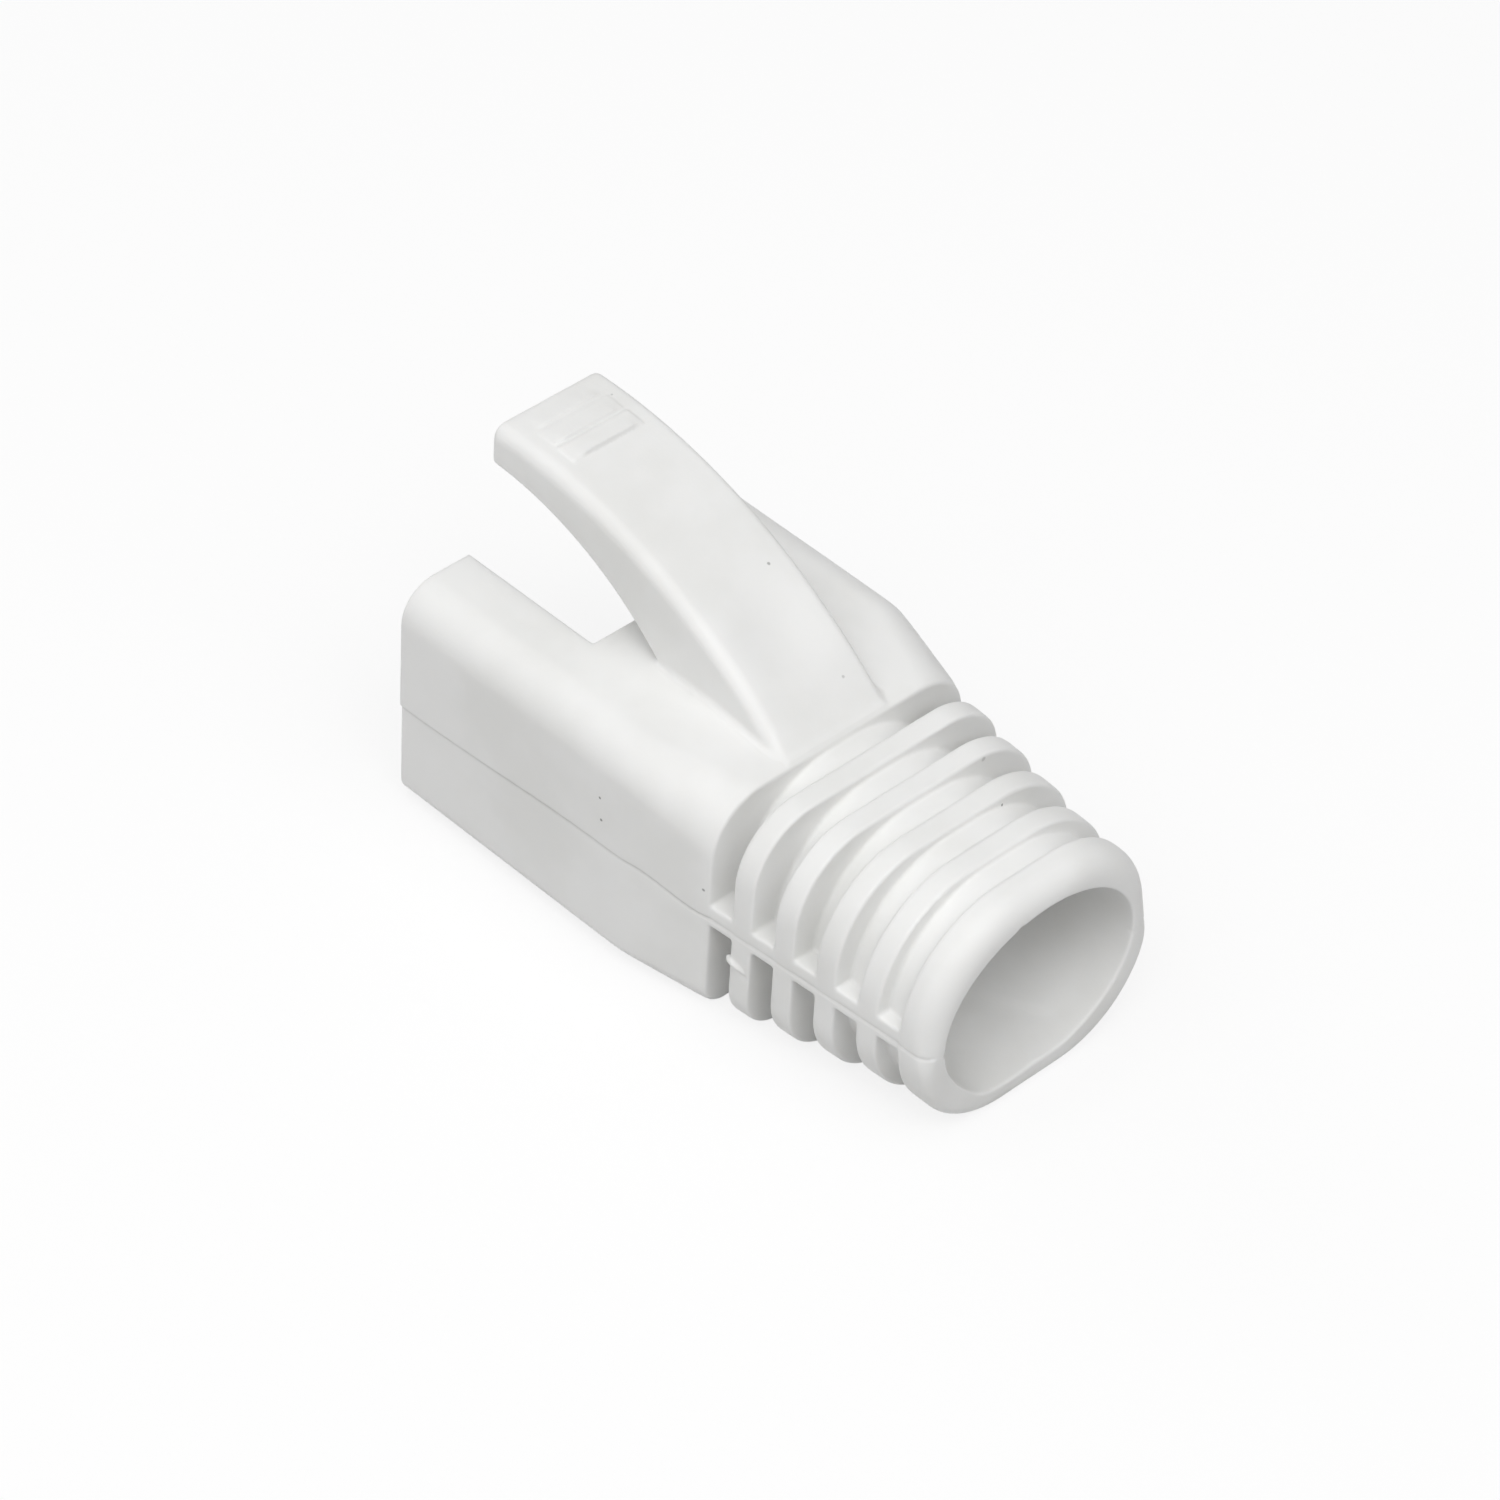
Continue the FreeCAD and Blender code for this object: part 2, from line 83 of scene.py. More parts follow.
def alongSide(low, high):
    # shares of the way down or up a side, with a close pair where it crosses the parting plane
    if low * high >= 0:
        return np.arange(1, runSteps) / runSteps
    cross = low / (low - high)
    gap = partingGap / abs(low - high)
    first = np.linspace(0, cross - gap, runSteps // 2 + 1)[1:]
    second = np.linspace(cross + gap, 1, runSteps - runSteps // 2)[:-1]
    return np.concatenate([first, second])


# A section is points and outward normals across the boot: one radius on top, one below.
def boxSection(half, up, down, roofRadius, baseRadius, seam=0.0):
    corners = (
        (half - roofRadius, up - roofRadius, roofRadius),
        (roofRadius - half, up - roofRadius, roofRadius),
        (baseRadius - half, baseRadius - down, baseRadius),
        (half - baseRadius, baseRadius - down, baseRadius),
    )
    points = []
    normals = []
    for turn, (y, z, radius) in enumerate(corners):
        for step in range(cornerSteps + 1):
            angle = (turn + step / cornerSteps) * math.pi / 2
            normals.append((math.cos(angle), math.sin(angle)))
            points.append((y + radius * normals[-1][0], z + radius * normals[-1][1]))
        y, z, radius = corners[(turn + 1) % 4]
        goal = (y + radius * normals[-1][0], z + radius * normals[-1][1])
        start = points[-1]
        for share in alongSide(start[1] - seam, goal[1] - seam):
            points.append(mix(start, goal, share))
            normals.append(normals[-1])
    return np.array(points), np.array(normals)


def ovalSection(half, high):
    count = 4 * (cornerSteps + runSteps)
    angle = np.linspace(0, 2 * math.pi, count, endpoint=False)
    points = np.column_stack([half * np.cos(angle), high * np.sin(angle)])
    normals = points / np.array([half ** 2, high ** 2])
    return points, normals / np.linalg.norm(normals, axis=1)[:, None]


def steppedIn(section, step, seam):
    # the lower mould half stands back a little along the sides
    points, normals = section
    lowSide = (points[:, 1] < seam) & (np.abs(normals[:, 0]) > sideLean)
    return points - normals * np.where(lowSide, step, 0)[:, None] * [1, 0], normals


def row(x, section, inset=0.0):
    # one loop of a loft; x and inset may differ from point to point
    points, normals = section
    flat = points - normals * np.reshape(inset, (-1, 1))
    x = np.broadcast_to(x, len(points))
    return np.column_stack([x, flat])


def quarterRound(radius, steps=roundSteps):
    # how far back from the end, and how far in, each loop of a rounded edge lies
    for step in range(steps + 1):
        angle = step / steps * math.pi / 2
        yield radius * (1 - math.sin(angle)), radius * (1 - math.cos(angle))


def roundedFront(x, section, radius):
    return [row(x + back, section, inset) for back, inset in quarterRound(radius)][::-1]


def roundedBack(x, section, radius, steps=roundSteps):
    return [row(x - back, section, inset) for back, inset in quarterRound(radius, steps)]


def inScene(thing):
    bpy.context.scene.collection.objects.link(thing)
    return thing


def loftSolid(name, rows):
    count = len(rows[0])
    points = np.concatenate(rows)
    faces = []
    for i in range(len(rows) - 1):
        here, there = i * count, (i + 1) * count
        for j in range(count):
            k = (j + 1) % count
            faces.append((here + j, here + k, there + k, there + j))
    faces.append(tuple(reversed(range(count))))
    faces.append(tuple(range((len(rows) - 1) * count, len(rows) * count)))
    mesh = bpy.data.meshes.new(name)
    mesh.from_pydata([place(*p) for p in points.tolist()], [], faces)
    return inScene(bpy.data.objects.new(name, mesh))


def settled(piece):
    # the piece with its modifiers worked in, as a plain mesh
    view = bpy.context.evaluated_depsgraph_get()
    mesh = bpy.data.meshes.new_from_object(piece.evaluated_get(view))
    piece.modifiers.clear()
    old = piece.data
    piece.data = mesh
    bpy.data.meshes.remove(old)
    return piece


def cutWith(piece, *cutters):
    for cutter in cutters:
        cut = piece.modifiers.new("cut", "BOOLEAN")
        cut.operation = "DIFFERENCE"
        cut.solver = "EXACT"
        cut.object = cutter
    return settled(piece)


def discard(*pieces):
    for piece in pieces:
        bpy.data.objects.remove(piece)


# Node trees: short ways to place nodes, join them and give them their named inputs.
def link(tree, value, socket):
    if isinstance(value, bpy.types.NodeSocket):
        tree.links.new(value, socket)
    elif value is not None:
        socket.default_value = value


def addNode(tree, kind, inputs=(), **settings):
    # the settings come first, because some of them change which inputs there are
    made = tree.nodes.new(kind)
    for name, value in settings.items():
        setattr(made, name, value)
    for name, value in dict(inputs).items():
        link(tree, value, made.inputs[name])
    return made


def newTree(name, inputs):
    tree = bpy.data.node_groups.new(name, "GeometryNodeTree")
    for side in ("INPUT", "OUTPUT"):
        tree.interface.new_socket("Geometry", in_out=side, socket_type="NodeSocketGeometry")
    kinds = {int: "NodeSocketInt", float: "NodeSocketFloat"}
    for label, value in inputs.items():
        kind = kinds.get(type(value), "NodeSocketObject")
        tree.interface.new_socket(label, in_out="INPUT", socket_type=kind)
    return tree, tree.nodes.new("NodeGroupInput").outputs


def maths(tree, operation, *values):
    return addNode(tree, "ShaderNodeMath", enumerate(values), operation=operation).outputs[0]


def vectorMaths(tree, operation, first, second=None, scale=None):
    inputs = {0: first, 1: second}
    if scale is not None:
        inputs["Scale"] = scale
    made = addNode(tree, "ShaderNodeVectorMath", inputs, operation=operation)
    return made.outputs["Value" if operation in ("DISTANCE", "DOT_PRODUCT") else "Vector"]


def ramp(tree, value, fromMin, fromMax, toMin=0.0, toMax=1.0):
    values = enumerate((value, fromMin, fromMax, toMin, toMax))
    return addNode(tree, "ShaderNodeMapRange", values, interpolation_type="SMOOTHSTEP").outputs[0]


def split(tree, vector):
    return addNode(tree, "ShaderNodeSeparateXYZ", {0: vector}).outputs


def vectorOf(tree, **parts):
    return addNode(tree, "ShaderNodeCombineXYZ", parts).outputs[0]


def noiseField(tree, where, scale, detail):
    inputs = {"Vector": where, "Scale": scale, "Detail": detail}
    return addNode(tree, "ShaderNodeTexNoise", inputs).outputs[0]


def inMillimetres(tree, position):
    fromMouth = vectorMaths(tree, "SUBTRACT", position, place(0, 0, 0))
    return vectorMaths(tree, "SCALE", fromMouth, scale=1 / mm)


def kept(tree, geometry, name, value, domain="POINT"):
    inputs = {"Geometry": geometry, "Name": name, "Value": value}
    return addNode(tree, "GeometryNodeStoreNamedAttribute", inputs, domain=domain).outputs[0]


def namedValue(tree, name):
    return addNode(tree, "GeometryNodeInputNamedAttribute", {"Name": name}).outputs["Attribute"]


def copiesOf(tree, geometry, count):
    # the whole geometry over and over in one place, as instances, and each one's number
    whole = addNode(tree, "GeometryNodeGeometryToInstance", {0: geometry})
    copies = addNode(tree, "GeometryNodeDuplicateElements", {
        "Geometry": whole.outputs[0],
        "Amount": count,
    }, domain="INSTANCE")
    return copies.outputs[0], copies.outputs["Duplicate Index"]


def endTree(tree, geometry, material):
    plain = addNode(tree, "GeometryNodeRealizeInstances", {0: geometry})
    coat = addNode(tree, "GeometryNodeSetMaterial", {
        "Geometry": plain.outputs[0],
        "Material": material,
    })
    addNode(tree, "NodeGroupOutput", {0: coat.outputs[0]})


def runTree(piece, tree, inputs):
    modifier = piece.modifiers.new(tree.name, "NODES")
    modifier.node_group = tree
    for item in tree.interface.items_tree:
        if item.in_out == "INPUT" and item.name in inputs:
            modifier[item.identifier] = inputs[item.name]
    return settled(piece)


# Hood: a plug-sized box with its shoulder closing in to the rear face.
# A section's five sizes are half width, up, down, roof radius and base radius.
hoodSizes = {
    "mouth": (7.1, 5.5, 4.3, 1.65, 0.6),
    "rear": (6.42, 5.02, 4.7, 2.4, 1.15),
    "straight": 12.2,
    "length": 16.07,
    "shoulderBend": 0.35,
    "rearMost": 1.02,         # how far the shoulder's slope may run past the rear section
    "mouthRound": 0.2,
    "rearRound": 0.15,
    "halfStep": 0.07,         # the lower mould half's step at the mouth, over the rear's
    "rearStep": 0.03,
    "loopSpacing": 0.25,
}

# Seam of the two mould halves: where it runs, and how deep it is.
seamSizes = {
    "low": -0.1,              # height at the mouth and along the sleeve
    "rise": 0.57,             # how far it climbs along the hood
    "climbEnd": 11.5,
    "fallStart": 12.6,
    "fallEnd": 15.8,
    "depth": 0.08,
    "wide": 0.07,
    "sleeveShare": 0.6,       # share of its depth left on the sleeve
    "sleeve": (15.4, 16.6),   # where it changes from the hood's to the sleeve's
}


def seamHeight(x):
    s = seamSizes
    climb = smoothStep(x / s["climbEnd"])
    fall = smoothStep((x - s["fallStart"]) / (s["fallEnd"] - s["fallStart"]))
    return s["low"] + s["rise"] * climb * (1 - fall)


def seamField(tree, x):
    # the same height, worked out by nodes
    s = seamSizes
    climb = ramp(tree, x, 0.0, s["climbEnd"])
    fall = ramp(tree, x, s["fallStart"], s["fallEnd"], 1.0, 0.0)
    return maths(tree, "MULTIPLY_ADD", maths(tree, "MULTIPLY", climb, fall), s["rise"], s["low"])


def shoulderShare(x):
    # zero along the straight part of the hood and one at its rear face
    s = hoodSizes
    return softRamp(x - s["straight"], s["shoulderBend"]) / (s["length"] - s["straight"])


def hoodSection(x):
    s = hoodSizes
    seam = seamHeight(x)
    sizes = mix(s["mouth"], s["rear"], min(shoulderShare(x), s["rearMost"]))
    step = s["halfStep"] * (1 - smoothStep(x / s["length"])) + s["rearStep"]
    return steppedIn(boxSection(*sizes, seam), step, seam)


def roofHeight(x):
    return mix(hoodSizes["mouth"], hoodSizes["rear"], shoulderShare(x))[1]


def makeHood():
    s = hoodSizes
    between = spaced(s["mouthRound"], s["length"] - s["rearRound"], s["loopSpacing"])[1:-1]
    rows = roundedFront(0, hoodSection(0), s["mouthRound"])
    rows += [row(x, hoodSection(x)) for x in between]
    rows += roundedBack(s["length"], hoodSection(s["length"]), s["rearRound"])
    return loftSolid("hood", rows)


# Sleeve: a tube, the ribs round it, a spine along each side and the bead at the cable end.
sleeveSizes = {
    "tubeStart": 15.4,
    "tubeEnd": 25.5,
    "tubeFront": (4.95, 4.76, 4.4, 4.55, 3.6),
    "tubeBack": (5.3, 4.64, 4.5, 4.5, 4.3),
    "ribs": 4,
    "ribStart": 17.13,
    "ribPitch": 2.0,
    "ribThick": 0.97,
    "ribRound": 0.12,
    "ribTaper": 0.05,
    "firstRib": (6.3, 5.03, 4.7, 2.8, 1.85),
    "lastRib": (5.88, 4.88, 4.65, 4.3, 3.75),
    "beadStart": 25.13,
    "length": 26.6,
    "bead": (5.8, 4.9, 4.7, 4.5, 4.3),
    "rimRoundUp": 1.0,
    "rimRoundDown": 0.45,
    "rimChange": 2.4,         # the height over which one rounding turns into the other
    "rimSteps": 10,
    "spineFront": 6.36,
    "spineBack": 5.72,
    "spineHigh": 0.5,
    "spineRound": 0.12,
    "spineSink": (0.2, 0.4),  # how far the spines run into the hood and the bead
    "loopSpacing": 0.5,
}


def makeTube():
    s = sleeveSizes
    run = s["tubeEnd"] - s["tubeStart"]
    rows = []
    for x in spaced(s["tubeStart"], s["tubeEnd"], s["loopSpacing"]):
        sizes = mix(s["tubeFront"], s["tubeBack"], (x - s["tubeStart"]) / run)
        rows.append(row(x, boxSection(*sizes)))
    return loftSolid("tube", rows)


def makeRib(name, sizes):
    s = sleeveSizes
    section = boxSection(*sizes)
    rows = roundedFront(s["ribStart"], section, s["ribRound"])
    for loop in roundedBack(s["ribStart"] + s["ribThick"], section, s["ribRound"]):
        loop[:, 1] *= 1 - s["ribTaper"] / s["firstRib"][0]
        rows.append(loop)
    return loftSolid(name, rows)


def makeRibs(material):
    # the first rib stepped along the sleeve, its section changing evenly into the last one's
    s = sleeveSizes
    ribs = makeRib("ribs", s["firstRib"])
    last = makeRib("lastRib", s["lastRib"])
    inputs = {"Count": s["ribs"], "Pitch": s["ribPitch"] * mm, "Last rib": last}
    tree, given = newTree("ribs", inputs)
    index = addNode(tree, "GeometryNodeInputIndex").outputs[0]
    numbered = kept(tree, given["Geometry"], "corner", index)
    copies, number = copiesOf(tree, numbered, given["Count"])
    copies = kept(tree, copies, "rib", number, "INSTANCE")
    solid = addNode(tree, "GeometryNodeRealizeInstances", {0: copies})
    corner = namedValue(tree, "corner")
    rib = namedValue(tree, "rib")
    position = addNode(tree, "GeometryNodeInputPosition").outputs[0]
    goal = addNode(tree, "GeometryNodeObjectInfo", {"Object": given["Last rib"]})
    goal = addNode(tree, "GeometryNodeSampleIndex", {
        "Geometry": goal.outputs["Geometry"],
        "Value": position,
        "Index": corner,
    }, data_type="FLOAT_VECTOR")
    share = maths(tree, "DIVIDE", rib, maths(tree, "SUBTRACT", given["Count"], 1.0))
    blend = addNode(tree, "ShaderNodeMix", {
        0: share,
        4: position,            # inputs 4 and 5 are the two vectors
        5: goal.outputs[0],
    }, data_type="VECTOR")
    move = addNode(tree, "GeometryNodeSetPosition", {
        "Geometry": solid.outputs[0],
        "Position": blend.outputs[1],
        "Offset": vectorOf(tree, X=maths(tree, "MULTIPLY", rib, given["Pitch"])),
    })
    endTree(tree, move.outputs[0], material)
    runTree(ribs, tree, inputs)
    discard(last)
    return ribs


def makeBead():
    s = sleeveSizes
    section = boxSection(*s["bead"])
    share = np.array([smoothStep(0.5 + z / s["rimChange"]) for z in section[0][:, 1]])
    rim = s["rimRoundDown"] + (s["rimRoundUp"] - s["rimRoundDown"]) * share
    rows = roundedFront(s["beadStart"], section, s["ribRound"])
    rows += roundedBack(s["length"], section, rim, s["rimSteps"])
    return loftSolid("bead", rows)


def makeSpines():
    # one flat bar right across the sleeve, which the bore then cuts into two
    s = sleeveSizes
    start = hoodSizes["length"] - s["spineSink"][0]
    end = s["beadStart"] + s["spineSink"][1]
    rows = []
    for x in spaced(start, end, s["loopSpacing"]):
        share = (x - start) / (end - start)
        half = s["spineFront"] + (s["spineBack"] - s["spineFront"]) * share
        high, edge = s["spineHigh"], s["spineRound"]
        rows.append(row(x, boxSection(half, high, high, edge, edge)))
    return loftSolid("spines", rows)


# Tongue: a sprung strip over the latch, between a wide arc above and a tighter one below.
tongueSizes = {
    "half": 2.72,
    "crown": 11.0,
    "crownBack": 0.8,
    "topArc": 21.5,
    "tipBase": 9.3,
    "underArc": 13.0,
    "leastThick": 0.3,
    "rootBack": 15.9,
    "rootSink": 4.5,
    "rootBlend": 0.25,
    "edgeRound": 0.62,
    "farEdgeRound": 0.32,     # the far long edge is crisper than the near one
    "farInset": 0.15,         # and lies a little further in
    "lowerRound": 0.14,
    "edgeMost": 0.45,         # the most that an edge may take of the strip's thickness
    "lowerMost": 0.2,
    "tipRound": 0.3,
    "footRound": 0.25,        # fillet where the strip meets the roof
    "footFront": 9.0,
    "footLong": 1.5,
    "footLeast": 0.01,        # a smaller fillet isn't drawn
    "loopSpacing": 0.15,
}


def tongueTop(x):
    s = tongueSizes
    return s["crown"] - s["topArc"] + math.sqrt(s["topArc"] ** 2 - (x - s["crownBack"]) ** 2)


def tongueUnder(x):
    s = tongueSizes
    under = s["tipBase"] - s["underArc"] + math.sqrt(max(s["underArc"] ** 2 - x ** 2, 0))
    return max(under, s["rootSink"])


def tongueSection(x):
    s = tongueSizes
    roof = roofHeight(x)
    top = roof + softRamp(tongueTop(x) - roof, s["rootBlend"])
    under = min(tongueUnder(x), top - s["leastThick"])
    edge = min(s["edgeRound"], s["edgeMost"] * (top - under))
    lower = min(s["lowerRound"], s["lowerMost"] * (top - under))
    farEdge = min(s["farEdgeRound"], edge)
    points, normals = boxSection(s["half"], top, -under, edge, lower)
    crisp = boxSection(s["half"] - s["farInset"], top, -under, farEdge, lower)
    far = points[:, :1] > 0
    points, normals = np.where(far, crisp[0], points), np.where(far, crisp[1], normals)
    foot = s["footRound"] * smoothStep((x - s["footFront"]) / s["footLong"])
    foot = min(foot, max(top - roof, 0))
    if foot > s["footLeast"]:
        rise = np.clip(foot - (points[:, 1] - roof), 0, foot)
        flare = foot - np.sqrt(foot ** 2 - rise ** 2)
        side = np.abs(normals[:, 0]) > sideLean
        points[:, 0] += np.sign(points[:, 0]) * np.where(side, flare, 0)
    return points, normals


def makeTongue():
    s = tongueSizes
    rows = roundedFront(0, tongueSection(0), s["tipRound"])
    for x in spaced(s["tipRound"], s["rootBack"], s["loopSpacing"])[1:]:
        rows.append(row(x, tongueSection(x)))
    return loftSolid("tongue", rows)


# Inside: the plug pocket, a short funnel and the cable bore; and the latch slot in the roof.
insideSizes = {
    "pocket": (5.9, 4.3, 3.1, 0.6, 0.6),
    "pocketDepth": 11.4,
    "funnelFront": (5.38, 4.18, 2.98, 2.88, 2.88),
    "funnelBack": (4.6, 3.4, 2.2, 2.1, 2.1),
    "funnelEnd": 14.8,
    "boreFront": (4.34, 3.47),
    "boreBack": (4.79, 3.92),
    "boreLoops": (18, 22),
    "nearLoops": 23,          # from here to the cable end the bore's loops lie closer
    "loopSpacing": 0.15,
    "boreEdge": 0.1,
    "slot": (3.72, 6.6, -3.9, 0.12, 0.12),
    "slotLength": 6.8,
    "overlap": 0.05,          # how far one cutter reaches into the next
    "proud": 1,               # how far the cutters start outside the boot
}

# Two faults of the bore's floor: its lower near corner squared out, and a faint crease deeper in.
boreFaults = {
    "floorBlend": 1.5,        # height over which both fade out towards the sides
    "corner": 0.22,
    "cornerMiddle": 0.1,
    "cornerSpread": 1.2,
    "cornerShare": 0.9,
    "hollowMiddle": -2.5,
    "crease": 0.1,
    "creaseAt": (25.2, 1.9),
    "creaseSlant": 0.4,
    "creaseWide": 0.35,
    "creaseEnd": 4.3,
    "creaseFade": 2,
    "creaseDeep": (25.7, 0.9),
}


def boreRow(x, out):
    s = insideSizes
    f = boreFaults
    length = sleeveSizes["length"]
    share = (min(x, length) - s["pocketDepth"]) / (length - s["pocketDepth"])
    section = ovalSection(*mix(s["boreFront"], s["boreBack"], share))
    y, z = section[0].T
    floor = np.clip(-z / f["floorBlend"], 0, 1)
    corner = np.exp(-(y - f["cornerMiddle"]) ** 2 / f["cornerSpread"]) * f["cornerShare"]
    corner -= np.exp(-(y - f["hollowMiddle"]) ** 2)
    inset = floor * corner * f["corner"]
    creaseX, creaseY = f["creaseAt"]
    crease = (y - creaseY + (creaseX - x) * f["creaseSlant"]) / f["creaseWide"]
    crease = np.clip(crease, 0, 1) * np.clip((f["creaseEnd"] - y) / f["creaseFade"], 0, 1)
    deepX, deepLong = f["creaseDeep"]
    inset += floor * crease * smoothStep((deepX - x) / deepLong) * f["crease"]
    return row(x, section, inset - out)


def makeCutters():
    s = insideSizes
    end = sleeveSizes["length"]
    front = s["pocketDepth"] - s["overlap"]

    def straightCut(name, sizes, depth):
        section = boxSection(*sizes)
        return loftSolid(name, [row(-s["proud"], section), row(depth, section)])

    pocket = straightCut("pocketCut", s["pocket"], s["pocketDepth"])
    slot = straightCut("slotCut", s["slot"], s["slotLength"])
    funnel = loftSolid("funnelCut", [
        row(front, boxSection(*s["funnelFront"])),
        row(s["funnelEnd"], boxSection(*s["funnelBack"])),
    ])
    loops = [front - s["overlap"], *s["boreLoops"]]
    loops += list(spaced(s["nearLoops"], end - s["boreEdge"], s["loopSpacing"]))
    rows = [boreRow(x, 0) for x in loops]
    rows += [boreRow(end - back, out) for back, out in quarterRound(s["boreEdge"])][1:]
    rows.append(boreRow(end + s["proud"], s["boreEdge"]))
    return pocket, funnel, loftSolid("boreCut", rows), slot


# Grip bars: low wedges on the tongue's tip, stepped along its top arc and fading at their ends.
gripSizes = {
    "count": 3,
    "half": 1.7,
    "fade": 0.55,
    "back": 0.5,
    "long": 0.86,
    "pitch": 1.05,
    "rise": 0.08,
    "more": 0.035,            # how much higher each bar stands than the one before
    "sink": 0.3,
    "edge": 0.05,
    "points": 61,             # points across a bar
}


def gripSection(rise):
    s = gripSizes
    crown = tongueSizes["crown"]
    points = []
    for y in np.linspace(s["half"], -s["half"], s["points"]):
        points.append((y, crown + rise * smoothStep((s["half"] - abs(y)) / s["fade"])))
    points += [(-s["half"], crown - s["sink"]), (s["half"], crown - s["sink"])]
    return np.array(points), np.zeros((len(points), 2))


def makeGrip(material):
    # one bar lies at the top of the arc; the tree turns its copies about the arc's centre
    s = gripSizes
    t = tongueSizes
    end = t["crownBack"] + s["back"]
    profile = ((end - s["long"], 0.0), (end - s["edge"], s["rise"]), (end, s["rise"] - s["edge"]))
    bars = loftSolid("grip", [row(x, gripSection(rise)) for x, rise in profile])
    inputs = {
        "Count": s["count"],
        "Step": s["pitch"] / t["topArc"],
        "Growth": s["more"] / t["topArc"],
        "Centre x": mouthX + t["crownBack"] * mm,
        "Centre z": partingZ + (t["crown"] - t["topArc"]) * mm,
    }
    tree, given = newTree("grip", inputs)
    copies, number = copiesOf(tree, given["Geometry"], given["Count"])
    centre = vectorOf(tree, X=given["Centre x"], Z=given["Centre z"])
    rotate = addNode(tree, "GeometryNodeRotateInstances", {
        "Instances": copies,
        "Rotation": vectorOf(tree, Y=maths(tree, "MULTIPLY", number, given["Step"])),
        "Pivot Point": centre,
        "Local Space": False,
    })
    grow = addNode(tree, "GeometryNodeScaleInstances", {
        "Instances": rotate.outputs[0],
        "Scale": maths(tree, "MULTIPLY_ADD", number, given["Growth"], 1.0),
        "Center": centre,
        "Local Space": False,
    })
    endTree(tree, grow.outputs[0], material)
    return runTree(bars, tree, inputs)


# Marks of the mould and of use: the seam's groove, an uneven skin, sunk spots, a nick and a scar.
markSizes = {
    "ripple": 0.012,
    "rippleScale": 0.35,
    "rippleDetail": 2.0,
    "sideFacing": (0.1, 0.4), # how far a wall faces outwards before it carries the seam
    "edgeBlur": 6,            # how wide a neighbourhood an edge is judged against
}
dents = (
    # x, y, z, reach and depth
    (12.6, 0.3, 7.9, 2.6, 0.23),        # sink on the tongue's root
    (26.5, -1.35, 3.7, 0.3, 0.07),      # nick in the rim
    (17.6, -6.2, -1.66, 0.3, 0.07),     # scar beside the burr
    (17.85, -6.2, -1.8, 0.28, 0.06),    # the scar's tail
    (12.65, -7.1, -0.45, 0.25, 0.05),   # scratch under the seam
    (26.5, -4.75, -0.25, 0.25, 0.06),   # the seam's end on the rim, near side
    (26.5, 4.9, -0.2, 0.25, 0.06),      # and far side
)


def makeMarks(boot, material):
    s = markSizes
    numbers = {
        "Seam depth": seamSizes["depth"],
        "Seam width": seamSizes["wide"],
        "Ripple": s["ripple"],
    }
    tree, given = newTree("marks", numbers)
    position = addNode(tree, "GeometryNodeInputPosition").outputs[0]
    normal = addNode(tree, "GeometryNodeInputNormal").outputs[0]
    local = inMillimetres(tree, position)
    x, y, z = split(tree, local)

    # the seam: a fine groove, only where the wall faces outwards
    outward = maths(tree, "MULTIPLY", maths(tree, "SIGN", y), split(tree, normal)[1])
    side = ramp(tree, outward, *s["sideFacing"])
    away = maths(tree, "SUBTRACT", z, seamField(tree, x))
    away = maths(tree, "DIVIDE", away, given["Seam width"])
    bell = maths(tree, "MULTIPLY", maths(tree, "MULTIPLY", away, away), -1.0)
    bell = maths(tree, "EXPONENT", bell)
    deep = ramp(tree, x, *seamSizes["sleeve"], 1.0, seamSizes["sleeveShare"])
    deep = maths(tree, "MULTIPLY", given["Seam depth"], deep)
    seam = maths(tree, "MULTIPLY", maths(tree, "MULTIPLY", bell, side), deep)

    # slow unevenness of a soft moulding, and the dents
    ripple = noiseField(tree, local, s["rippleScale"], s["rippleDetail"])
    depth = maths(tree, "MULTIPLY_ADD", ripple, given["Ripple"], seam)
    for px, py, pz, reach, deepest in dents:
        far = vectorMaths(tree, "DISTANCE", local, (px, py, pz))
        depth = maths(tree, "ADD", depth, ramp(tree, far, reach, 0.0, 0.0, deepest))
    push = vectorMaths(tree, "SCALE", normal, scale=maths(tree, "MULTIPLY", depth, -mm))
    move = addNode(tree, "GeometryNodeSetPosition", {
        "Geometry": given["Geometry"],
        "Offset": push,
    })

    # how far each point stands proud of its neighbours, for the paler edges
    around = addNode(tree, "GeometryNodeBlurAttribute", {
        "Value": position,
        "Iterations": s["edgeBlur"],
    }, data_type="FLOAT_VECTOR")
    proud = vectorMaths(tree, "SUBTRACT", position, around.outputs[0])
    proud = maths(tree, "DIVIDE", vectorMaths(tree, "DOT_PRODUCT", proud, normal), mm)
    endTree(tree, kept(tree, move.outputs[0], "edge", proud), material)
    runTree(boot, tree, numbers)


# Burr: a curl of flash on the first rib.
burrSizes = {
    "start": (16.98, -6.12, -1.42),
    "middle": (17.15, -6.5, -1.3),
    "end": (17.82, -6.2, -1.6),
    "radius": 0.12,
    "steps": 14,
    "sides": 16,
    "thinning": (2.9, 0.12),  # stretch and start of the sine that thins its ends
}


